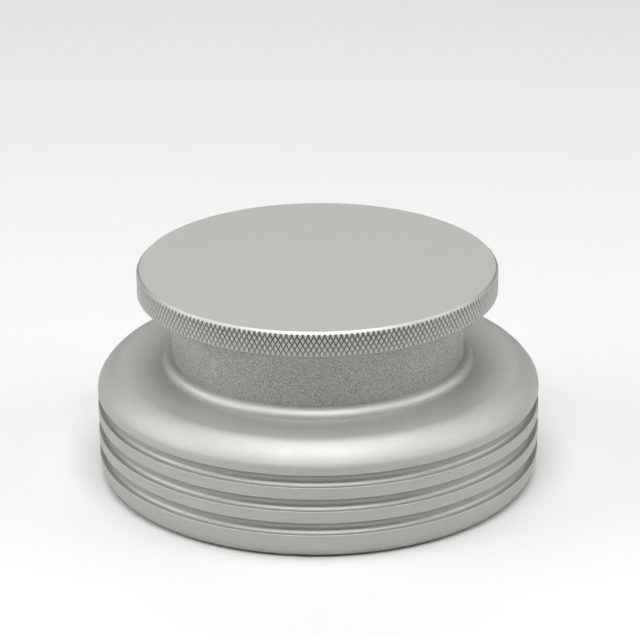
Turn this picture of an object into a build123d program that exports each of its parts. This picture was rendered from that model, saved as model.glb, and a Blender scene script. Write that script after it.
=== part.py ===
"""Record weight: a solid aluminium puck turned in one piece, with a knurled knob on a waisted neck.

Millimetres, +Z up. The origin is the middle of the underside, on the axis of the spindle bore.
"""

import os
from math import cos, pi, radians, sin, tan

from build123d import *

# Base disc: the height of its flat top, the elliptical rounding of its foot, and its shoulder, which is
# three arcs from the side to the top, each tangent to the next and each turning by the same angle
base_diameter = 80.0
rim_height = 21.0
foot_width = 2.4
foot_height = 4.3
shoulder_radii = (3.0, 7.2, 4.0)
shoulder_turn = 30.0

# Half-round grooves around the base
groove_count = 3
groove_width = 2.3
groove_pitch = 4.48
lowest_groove_height = 5.85
groove_edge_break = 0.15

# Quarter-round bead around the foot of the neck
bead_radius = 1.8

# Neck and knob
neck_diameter = 52.8
knob_diameter = 64.8
knob_thickness = 4.7
overall_height = 39.1
knob_top_chamfer = 0.5
knob_lower_chamfer = 0.25

# Diamond knurl: spacing of like-handed grooves around the knob, their depth, their slant, and their width
# as a share of that spacing, over 1 so that the diamonds between them come to a point
knurl_pitch = 0.94
knurl_depth = 0.2
knurl_helix = 30.0
knurl_overcut = 1.1

# Underside: the relief inside the ring that bears on the label, and the blind spindle bore
relief_diameter = 52.0
relief_depth = 0.8
spindle_diameter = 7.2
spindle_clearance = 0.2
bore_depth = 20.0
bore_lead_in = 0.8
drill_point_angle = 118.0

base_radius = base_diameter / 2
neck_radius = neck_diameter / 2
knob_radius = knob_diameter / 2
knob_underside = overall_height - knob_thickness

shoulder_angles = [number * shoulder_turn for number in range(len(shoulder_radii) + 1)]
shoulder_rise = sum(
    radius * (sin(radians(end)) - sin(radians(start)))
    for radius, start, end in zip(shoulder_radii, shoulder_angles, shoulder_angles[1:])
)

knurl_teeth = round(pi * knob_diameter / knurl_pitch)
knurl_normal_pitch = pi * knob_diameter / knurl_teeth * cos(radians(knurl_helix))
knurl_half_width = knurl_overcut * knurl_normal_pitch / 2
knurl_reach = 2 * knob_thickness / cos(radians(knurl_helix))

relief_radius = relief_diameter / 2
bore_radius = (spindle_diameter + spindle_clearance) / 2
bore_end = relief_depth + bore_depth
drill_point = bore_radius / tan(radians(drill_point_angle / 2))

with BuildPart() as knurl_cutter:
    # Straight V bar: its edge lies below the rim of the knob, its back stands as far outside
    with BuildSketch(Plane.XY):
        with BuildLine():
            Polyline(
                (-knurl_depth, 0),
                (knurl_depth, -2 * knurl_half_width),
                (knurl_depth, 2 * knurl_half_width),
                close=True,
            )
        make_face()
    extrude(amount=knurl_reach / 2, both=True)

with BuildPart() as weight:
    # Half section of the turned body, from the underside up the outside to the top face
    with BuildSketch(Plane.XZ):
        with BuildLine():
            foot_center = (base_radius - foot_width, foot_height)
            foot = EllipticalCenterArc(foot_center, foot_width, foot_height, -90, arc_size=90)
            Line((0, 0), foot @ 0)
            band_start = foot @ 1
            for number in range(groove_count):
                groove_center = (base_radius, lowest_groove_height + number * groove_pitch)
                groove = CenterArc(groove_center, groove_width / 2, 270, -180)
                Line(band_start, groove @ 0)
                band_start = groove @ 1
            shoulder_start = Vector(base_radius, rim_height - shoulder_rise)
            Line(band_start, shoulder_start)
            for radius, angle in zip(shoulder_radii, shoulder_angles):
                spoke = Vector(radius * cos(radians(angle)), radius * sin(radians(angle)))
                shoulder = CenterArc(shoulder_start - spoke, radius, angle, shoulder_turn)
                shoulder_start = shoulder @ 1
            bead = CenterArc((neck_radius, rim_height), bead_radius, 0, 90)
            Line(shoulder @ 1, bead @ 0)
            Polyline(
                bead @ 1,
                (neck_radius, knob_underside),
                (knob_radius - knob_lower_chamfer, knob_underside),
                (knob_radius, knob_underside + knob_lower_chamfer),
                (knob_radius, overall_height - knob_top_chamfer),
                (knob_radius - knob_top_chamfer, overall_height),
                (0, overall_height),
                (0, 0),
            )
        make_face()
    revolve(axis=Axis.Z)

    # Sharp edges of the grooves, taken off all round
    groove_edges = weight.edges().filter_by(GeomType.CIRCLE).filter_by(
        lambda edge: abs(edge.radius - base_radius) < groove_edge_break
    )
    highest_groove_height = lowest_groove_height + (groove_count - 1) * groove_pitch
    edge_reach = groove_width / 2 + groove_edge_break
    grooved_zone = (lowest_groove_height - edge_reach, highest_groove_height + edge_reach)
    chamfer(groove_edges.filter_by_position(Axis.Z, *grooved_zone), groove_edge_break)

    # Relief and blind spindle bore, with its lead-in and the cone that the drill leaves
    with BuildSketch(Plane.XZ):
        with BuildLine():
            Polyline(
                (0, 0),
                (relief_radius, 0),
                (relief_radius, relief_depth),
                (bore_radius + bore_lead_in, relief_depth),
                (bore_radius, relief_depth + bore_lead_in),
                (bore_radius, bore_end),
                (0, bore_end + drill_point),
                close=True,
            )
        make_face()
    revolve(axis=Axis.Z, mode=Mode.SUBTRACT)

    # Diamond knurl: left-hand and right-hand V grooves that cross all round the knob
    with Locations((0, 0, overall_height - knob_thickness / 2)):
        for slant in (knurl_helix, -knurl_helix):
            with PolarLocations(knob_radius, knurl_teeth):
                add(knurl_cutter.part, rotation=(slant, 0, 0), mode=Mode.SUBTRACT, clean=False)

weight.part.label = "weight_body"
os.makedirs("parts", exist_ok=True)
export_step(weight.part, "parts/weight_body.step", write_pcurves=False)
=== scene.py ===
"""Looks of the record weight: its turned and knurled body, its satin finish, and a plain studio."""

from math import atan2, ceil, cos, degrees, pi, radians, sin, sqrt, tan

import bpy
from mathutils import Matrix, Vector


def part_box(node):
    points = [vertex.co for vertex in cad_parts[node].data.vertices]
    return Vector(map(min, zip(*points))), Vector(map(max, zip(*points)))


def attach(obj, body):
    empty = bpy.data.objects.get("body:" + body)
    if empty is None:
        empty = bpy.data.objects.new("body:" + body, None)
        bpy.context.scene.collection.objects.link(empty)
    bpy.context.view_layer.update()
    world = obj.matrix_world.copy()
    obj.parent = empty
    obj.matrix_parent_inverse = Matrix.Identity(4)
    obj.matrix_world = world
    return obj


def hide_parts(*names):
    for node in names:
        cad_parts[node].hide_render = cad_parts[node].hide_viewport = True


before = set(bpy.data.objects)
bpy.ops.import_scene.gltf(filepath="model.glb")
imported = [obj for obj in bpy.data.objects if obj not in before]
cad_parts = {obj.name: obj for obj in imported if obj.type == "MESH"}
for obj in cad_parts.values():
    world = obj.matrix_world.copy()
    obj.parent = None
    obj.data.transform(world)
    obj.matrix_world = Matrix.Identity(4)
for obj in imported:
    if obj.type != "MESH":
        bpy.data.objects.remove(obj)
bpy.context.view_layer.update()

MM = 0.001
NODE = "weight_body"
high_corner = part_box(NODE)[1]

# Turned section, in millimetres and degrees. The outline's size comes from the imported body.
base_radius = high_corner[0] / MM
overall_height = high_corner[2] / MM
foot_width = 2.4
foot_height = 4.3
rim_height = 21.0
shoulder_radii = (3.0, 7.2, 4.0)
shoulder_turn = 30.0
groove_count = 3
groove_radius = 1.15
groove_pitch = 4.48
lowest_groove_height = 5.85
groove_lip = 0.15
bead_radius = 1.8
neck_radius = 26.4
knob_radius = 32.4
knob_thickness = 4.7
knob_top_chamfer = 0.5
knob_lower_chamfer = 0.25
edge_break = 0.06
relief_radius = 26.0
relief_depth = 0.8
bore_radius = 3.7
bore_depth = 20.0
bore_lead_in = 0.8
drill_point_angle = 118.0

knob_underside = overall_height - knob_thickness
bore_end = relief_depth + bore_depth
drill_point = bore_radius / tan(radians(drill_point_angle / 2))

# Diamond knurl, in millimetres and degrees: V grooves of both hands, which deepen towards the top of the
# knob, and diamonds between them whose tops are slightly crowned
knurl_pitch = 0.94
knurl_lower_depth = 0.14
knurl_upper_depth = 0.27
knurl_crown = 0.05
knurl_helix = 30.0
knurl_angle = 70.0

knurl_teeth = round(2 * pi * knob_radius / knurl_pitch)
knurl_middle = overall_height - knob_thickness / 2
tooth_width = 2 * pi * knob_radius / knurl_teeth
diamond_height = tooth_width / tan(radians(knurl_helix))
knurl_slope = tooth_width * cos(radians(knurl_helix)) / tan(radians(knurl_angle / 2))

# Fineness: columns around the turned faces, steps from groove to groove of the knurl, rows on the knob's
# top chamfer, rings on its top face, the widest step of an arc in degrees, the fewest steps of an arc, and
# the least angle, in degrees, of an edge that stays sharp
columns = knurl_teeth
knurl_steps = 6
chamfer_rows = 5
top_rings = 6
arc_step = 10.0
fewest_arc_steps = 3
sharp_angle = 25.0

# Places of the knurl's columns of vertices, in teeth around the rim
knurl_turns = [column / knurl_steps for column in range(knurl_teeth * knurl_steps)]


def arc(center, width, height, start, sweep):
    """Points of an elliptical arc in the section plane; angles in degrees from outward, towards up."""
    steps = max(fewest_arc_steps, ceil(abs(sweep) / arc_step))
    points = []
    for step in range(steps + 1):
        angle = radians(start + sweep * step / steps)
        points.append((center[0] + width * cos(angle), center[1] + height * sin(angle)))
    return points


def round_arc(center, radius, start, sweep):
    """Points of a circular arc in the section plane."""
    return arc(center, radius, radius, start, sweep)


def rounded(corners):
    """Points of an open outline whose corners, given as (radius, height, rounding), become arcs."""
    points = [corners[0][:2]]
    for before, corner, after in zip(corners, corners[1:], corners[2:]):
        here = Vector(corner[:2])
        rounding = corner[2]
        inward = (Vector(before[:2]) - here).normalized()
        onward = (Vector(after[:2]) - here).normalized()
        half_angle = inward.angle(onward) / 2
        center = here + (inward + onward).normalized() * rounding / sin(half_angle)
        first = here + inward * rounding / tan(half_angle)
        last = here + onward * rounding / tan(half_angle)
        start = degrees(atan2(first.y - center.y, first.x - center.x))
        end = degrees(atan2(last.y - center.y, last.x - center.x))
        sweep = (end - start + 180) % 360 - 180
        points += round_arc(center, rounding, start, sweep)
    points.append(corners[-1][:2])
    return points


def underside_section():
    """From the point of the drilled bore down to the ring that the weight stands on."""
    return rounded([
        (0, bore_end + drill_point, 0),
        (bore_radius, bore_end, edge_break),
        (bore_radius, relief_depth + bore_lead_in, edge_break),
        (bore_radius + bore_lead_in, relief_depth, edge_break),
        (relief_radius, relief_depth, edge_break),
        (relief_radius, 0, edge_break),
        (base_radius - foot_width, 0, 0),
    ])


def foot_section():
    """Elliptical rounding from the underside to the side of the base."""
    return arc((base_radius - foot_width, foot_height), foot_width, foot_height, -90, 90)


def groove_sections(height):
    """Half-round groove around the base: its lower lip, rounded over, its hollow and its upper lip."""
    rise = sqrt((groove_radius + groove_lip) ** 2 - groove_lip ** 2)
    lean = degrees(atan2(groove_lip, rise))
    lip_center = base_radius - groove_lip
    lower = round_arc((lip_center, height - rise), groove_lip, 0, 90 - lean)
    hollow = round_arc((base_radius, height), groove_radius, 270 - lean, 2 * lean - 180)
    upper = round_arc((lip_center, height + rise), groove_lip, lean - 90, 90 - lean)
    return lower, hollow[1:], upper[1:]


def shoulder_section():
    """Three arcs, each tangent to the next, from the side of the base to its flat top."""
    turns = [radians(shoulder_turn * number) for number in range(len(shoulder_radii) + 1)]
    rise = sum(
        radius * (sin(end) - sin(start))
        for radius, start, end in zip(shoulder_radii, turns, turns[1:])
    )
    points = [(base_radius, rim_height - rise)]
    for radius, start in zip(shoulder_radii, turns):
        center = (points[-1][0] - radius * cos(start), points[-1][1] - radius * sin(start))
        points += round_arc(center, radius, degrees(start), shoulder_turn)[1:]
    return points


def bead_section():
    """Quarter-round bead between the flat top of the base and the neck."""
    return round_arc((neck_radius, rim_height), bead_radius, 0, 90)


def top_section():
    """Flat top of the knob, from inside its chamfer to the middle."""
    outer_radius = knob_radius - 2 * knob_top_chamfer
    return [(outer_radius * part / top_rings, overall_height) for part in range(top_rings, -1, -1)]


def rim_radius(height):
    """Radius of the knob's rim before it is knurled, with its two chamfers."""
    above_underside = height - knob_underside
    below_top = overall_height - height
    chamfered = min(
        knob_radius - knob_lower_chamfer + above_underside,
        knob_radius - knob_top_chamfer + below_top,
    )
    return min(knob_radius, chamfered)


def knurl_cut(turn, height):
    """Depth of the knurl below the rim, at a place given in teeth around and millimetres up."""
    climb = (height - knurl_middle) / diamond_height
    from_left = abs((turn + climb + 0.5) % 1 - 0.5)
    from_right = abs((turn - climb + 0.5) % 1 - 0.5)
    from_groove = min(from_left, from_right)
    above_underside = (height - knob_underside) / knob_thickness
    depth = knurl_lower_depth + (knurl_upper_depth - knurl_lower_depth) * above_underside
    crown = knurl_crown * (1 - 2 * from_groove) ** 2
    return max(crown, depth - knurl_slope * from_groove)


def knurl_point(turn, height):
    """Place on the knurled rim, given in teeth around and millimetres up."""
    radius = min(rim_radius(height), knob_radius - knurl_cut(turn, height))
    angle = 2 * pi * turn / knurl_teeth
    return radius * cos(angle), radius * sin(angle), height


def knurl_heights():
    """Heights of the rim's rows of vertices, in step with the diamonds and finer on the top chamfer."""
    row = diamond_height / knurl_steps
    lower_edge = knob_underside + knob_lower_chamfer
    upper_edge = overall_height - knob_top_chamfer
    first = ceil((lower_edge - knurl_middle) / row)
    last = int((upper_edge - knurl_middle) / row)
    heights = [knob_underside, lower_edge]
    heights += [knurl_middle + row * number for number in range(first, last + 1)]
    heights += [upper_edge + knob_top_chamfer * part / chamfer_rows for part in range(chamfer_rows + 1)]
    return heights


class Lathe:
    """Collects rings of vertices from the bore's point, out and up the body, to the middle of the top."""

    def __init__(self):
        self.vertices = []
        self.faces = []
        self.materials = []
        self.ring = None

    def add_ring(self, points):
        """Numbers of the new vertices at points in millimetres."""
        start = len(self.vertices)
        self.vertices += [tuple(coordinate * MM for coordinate in point) for point in points]
        return list(range(start, len(self.vertices)))

    def plain_ring(self, radius, height):
        """Round ring, or a single vertex on the axis."""
        if radius == 0:
            return self.add_ring([(0, 0, height)])
        angles = [2 * pi * column / columns for column in range(columns)]
        return self.add_ring([(radius * cos(angle), radius * sin(angle), height) for angle in angles])

    def skin(self, ring, material):
        """Faces between the last ring and this one, which may have fewer or more columns."""
        last, self.ring = self.ring, ring
        if last is None:
            return
        count = max(len(last), len(ring))
        for column in range(count):
            beyond = (column + 1) % count
            low = (last[column * len(last) // count], last[beyond * len(last) // count])
            high = (ring[column * len(ring) // count], ring[beyond * len(ring) // count])
            self.faces.append(tuple(dict.fromkeys((low[0], low[1], high[1], high[0]))))
        self.materials += [material] * count

    def turn(self, section, material):
        """Turned faces along the points of a section."""
        for radius, height in section:
            self.skin(self.plain_ring(radius, height), material)

    def knurl(self, low, high, material):
        """Row of the knurl, with its cells split in four, so that grooves of both hands have edges."""
        count = len(knurl_turns)
        half_step = 0.5 / knurl_steps
        middle = (low + high) / 2
        ring = self.add_ring([knurl_point(turn, high) for turn in knurl_turns])
        middles = self.add_ring([knurl_point(turn + half_step, middle) for turn in knurl_turns])
        for column in range(count):
            beyond = (column + 1) % count
            corners = [self.ring[column], self.ring[beyond], ring[beyond], ring[column]]
            for first, second in zip(corners, corners[1:] + corners[:1]):
                self.faces.append((first, second, middles[column]))
            self.materials += [material] * len(corners)
        self.ring = ring


# Numbers of the finishes, in the order of the list of finishes below
SATIN, TURNED, HOLLOW_PAINTED_SHADE, BEAD_PAINTED_HIGHLIGHT, BLASTED, KNURLED, TOP = range(7)


def weight_mesh():
    """Mesh of the whole body, with a finish for each of its faces."""
    lathe = Lathe()
    lathe.turn(underside_section(), SATIN)
    lathe.turn(foot_section()[1:], SATIN)
    for number in range(groove_count):
        lower_lip, hollow, upper_lip = groove_sections(lowest_groove_height + number * groove_pitch)
        lathe.turn(lower_lip, SATIN)
        # The grooves' hollows take a finish darkened by painted shade
        lathe.turn(hollow, HOLLOW_PAINTED_SHADE)
        lathe.turn(upper_lip, SATIN)
    lathe.turn(shoulder_section(), SATIN)
    bead = bead_section()
    lathe.turn(bead[:1], SATIN)
    # The bead takes a finish lightened by a painted highlight
    lathe.turn(bead[1:], BEAD_PAINTED_HIGHLIGHT)
    lathe.turn([(neck_radius, knob_underside)], BLASTED)
    lathe.turn([(knob_radius - 2 * knob_lower_chamfer, knob_underside)], SATIN)
    heights = knurl_heights()
    lathe.skin(lathe.add_ring([knurl_point(turn, heights[0]) for turn in knurl_turns]), SATIN)
    for low, high in zip(heights, heights[1:]):
        chamfered = low >= overall_height - knob_top_chamfer
        lathe.knurl(low, high, TURNED if chamfered else KNURLED)
    lathe.turn(top_section(), TOP)
    mesh = bpy.data.meshes.new("weight")
    mesh.from_pydata(lathe.vertices, [], lathe.faces)
    mesh.polygons.foreach_set("material_index", lathe.materials)
    mesh.polygons.foreach_set("use_smooth", [True] * len(mesh.polygons))
    mesh.set_sharp_from_angle(angle=radians(sharp_angle))
    mesh.update()
    return mesh


# Aluminium: its tone, the stretch of the grain's noise that runs between two shades of it, the detail of
# all noise, the size in metres of the patches of its sheen, how far their roughness strays, and the depth
# in millimetres at which the painted shade in the knurl's grooves is darkest
tone = (0.513, 0.521, 0.49)
grain_stretch = (0.3, 0.7)
noise_detail = 2
sheen_size = 0.004
sheen_range = 0.04
painted_shade_depth = 0.22


def noise(tree, place, size):
    """Noise over the body, with patches of a size in metres."""
    texture = tree.nodes.new("ShaderNodeTexNoise")
    texture.inputs["Scale"].default_value = 1 / size
    texture.inputs["Detail"].default_value = noise_detail
    tree.links.new(place, texture.inputs["Vector"])
    return texture.outputs["Fac"]


def paint_groove_shade(tree, place, color, painted_groove_shades):
    """Painted shade: the colour, scaled from the first factor deep in the knurl's grooves to the second at
    the rim.
    """
    outward = tree.nodes.new("ShaderNodeVectorMath")
    outward.operation = "MULTIPLY"
    outward.inputs[1].default_value = (1, 1, 0)
    tree.links.new(place, outward.inputs[0])
    radius = tree.nodes.new("ShaderNodeVectorMath")
    radius.operation = "LENGTH"
    tree.links.new(outward.outputs["Vector"], radius.inputs[0])
    level = tree.nodes.new("ShaderNodeMapRange")
    level.inputs["From Min"].default_value = (knob_radius - painted_shade_depth) * MM
    level.inputs["From Max"].default_value = knob_radius * MM
    level.inputs["To Min"].default_value = painted_groove_shades[0]
    level.inputs["To Max"].default_value = painted_groove_shades[1]
    tree.links.new(radius.outputs["Value"], level.inputs["Value"])
    shaded = tree.nodes.new("ShaderNodeVectorMath")
    shaded.operation = "SCALE"
    tree.links.new(color, shaded.inputs[0])
    tree.links.new(level.outputs["Result"], shaded.inputs["Scale"])
    return shaded.outputs["Vector"]


def aluminium(name, shades, roughness, grain_size=0.00015, grain_height=0.000002, painted_groove_shades=None):
    """Aluminium whose grain, in metres, runs between two shades of its tone, under an uneven sheen."""
    material = bpy.data.materials.new(name)
    material.use_nodes = True
    tree = material.node_tree
    shader = tree.nodes["Principled BSDF"]
    shader.inputs["Metallic"].default_value = 1
    place = tree.nodes.new("ShaderNodeTexCoord").outputs["Object"]

    # Colour
    grain = noise(tree, place, grain_size)
    shade = tree.nodes.new("ShaderNodeValToRGB")
    for element, position, level in zip(shade.color_ramp.elements, grain_stretch, shades):
        element.position = position
        element.color = (level * tone[0], level * tone[1], level * tone[2], 1)
    tree.links.new(grain, shade.inputs["Fac"])
    color = shade.outputs["Color"]
    # Painted shade in the knurl's grooves, a little lighter at the rim
    if painted_groove_shades:
        color = paint_groove_shade(tree, place, color, painted_groove_shades)
    tree.links.new(color, shader.inputs["Base Color"])

    # Bump of the grain
    bump = tree.nodes.new("ShaderNodeBump")
    bump.inputs["Strength"].default_value = 1
    bump.inputs["Distance"].default_value = grain_height
    tree.links.new(grain, bump.inputs["Height"])
    tree.links.new(bump.outputs["Normal"], shader.inputs["Normal"])

    # Sheen
    sheen = tree.nodes.new("ShaderNodeMapRange")
    sheen.inputs["To Min"].default_value = roughness - sheen_range
    sheen.inputs["To Max"].default_value = roughness + sheen_range
    tree.links.new(noise(tree, place, sheen_size), sheen.inputs["Value"])
    tree.links.new(sheen.outputs["Result"], shader.inputs["Roughness"])
    return material


# Weight
finishes = [
    aluminium("satin", shades=(0.91, 1.09), roughness=0.66),
    aluminium("turned", shades=(0.95, 1.05), roughness=0.54, grain_height=0.000001),
    # Hollow: its darker shades are painted shade in the base's half-round grooves
    aluminium("hollow", shades=(0.77, 0.87), roughness=0.56, grain_height=0.000001),
    # Bead: its lighter shades are a painted highlight along the bead
    aluminium("bead", shades=(1.05, 1.19), roughness=0.63),
    aluminium("blasted", shades=(0.46, 1.38), roughness=0.66, grain_size=0.00017, grain_height=0.000018),
    # Knurled: painted shade darkens the grooves, and the colour is a little lighter on the diamonds at the
    # rim
    aluminium("knurled", shades=(0.9, 1.1), roughness=0.6, painted_groove_shades=(0.42, 1.08)),
    aluminium("top", shades=(0.94, 1.06), roughness=0.66),
]
mesh = weight_mesh()
for finish in finishes:
    mesh.materials.append(finish)
weight = bpy.data.objects.new("weight", mesh)
bpy.context.collection.objects.link(weight)
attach(weight, "root")
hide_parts(NODE)

# Floor, square and pale: its reach from the middle, in metres
floor_reach = 3
floor_color = (0.64, 0.64, 0.64, 1)
floor_roughness = 0.9

floor_corners = [
    (-floor_reach, -floor_reach, 0),
    (floor_reach, -floor_reach, 0),
    (floor_reach, floor_reach, 0),
    (-floor_reach, floor_reach, 0),
]
floor_mesh = bpy.data.meshes.new("floor")
floor_mesh.from_pydata(floor_corners, [], [(0, 1, 2, 3)])
floor = bpy.data.objects.new("floor", floor_mesh)
bpy.context.collection.objects.link(floor)
floor_material = bpy.data.materials.new("floor")
floor_material.use_nodes = True
floor_shader = floor_material.node_tree.nodes["Principled BSDF"]
floor_shader.inputs["Base Color"].default_value = floor_color
floor_shader.inputs["Roughness"].default_value = floor_roughness
floor_mesh.materials.append(floor_material)

# World, dim and white: the softboxes and the floor light the weight
world_strength = 0.1

world = bpy.data.worlds.new("studio")
bpy.context.scene.world = world
world.use_nodes = True
background = world.node_tree.nodes["Background"]
background.inputs["Color"].default_value = (1, 1, 1, 1)
background.inputs["Strength"].default_value = world_strength

# Softboxes, in metres, degrees and watts
softbox_width = 0.6
softbox_height = 0.24
softbox_distance = 0.8
softbox_aim = Vector((0, 0, 0.03))


def softbox(name, bearing, elevation, watts):
    """Oblong lamp aimed at the weight; the bearing runs from the front towards the right."""
    lamp = bpy.data.lights.new(name, "AREA")
    lamp.shape = "RECTANGLE"
    lamp.size = softbox_width
    lamp.size_y = softbox_height
    lamp.energy = watts
    across = cos(radians(elevation))
    toward = Vector((
        sin(radians(bearing)) * across,
        -cos(radians(bearing)) * across,
        sin(radians(elevation)),
    ))
    holder = bpy.data.objects.new(name, lamp)
    holder.location = softbox_aim + softbox_distance * toward
    holder.rotation_euler = toward.to_track_quat("Z", "Y").to_euler()
    bpy.context.collection.objects.link(holder)


softbox("front_softbox", bearing=0, elevation=62, watts=5.25)
softbox("overhead_softbox", bearing=0, elevation=90, watts=2.4)
softbox("back_softbox", bearing=180, elevation=42, watts=1.15)
softbox("left_softbox", bearing=-85, elevation=30, watts=2.85)
softbox("right_softbox", bearing=85, elevation=30, watts=2.3)

# Camera, fitted to the photo: its place and aim in metres, roll in degrees, lens and sensor in millimetres
camera_place = Vector((0, -0.504155, 0.233927))
camera_aim = Vector((0.000405, 0, 0.028267))
camera_roll = -0.435
camera_lens = 169.83
camera_sensor = 36

camera = bpy.data.objects.new("camera", bpy.data.cameras.new("camera"))
camera.data.lens = camera_lens
camera.data.sensor_width = camera_sensor
look = (camera_aim - camera_place).to_track_quat("-Z", "Y").to_matrix().to_4x4()
roll = Matrix.Rotation(radians(camera_roll), 4, "Z")
camera.matrix_world = Matrix.Translation(camera_place) @ look @ roll
bpy.context.collection.objects.link(camera)
bpy.context.scene.camera = camera
bpy.context.scene.view_settings.view_transform = "Standard"
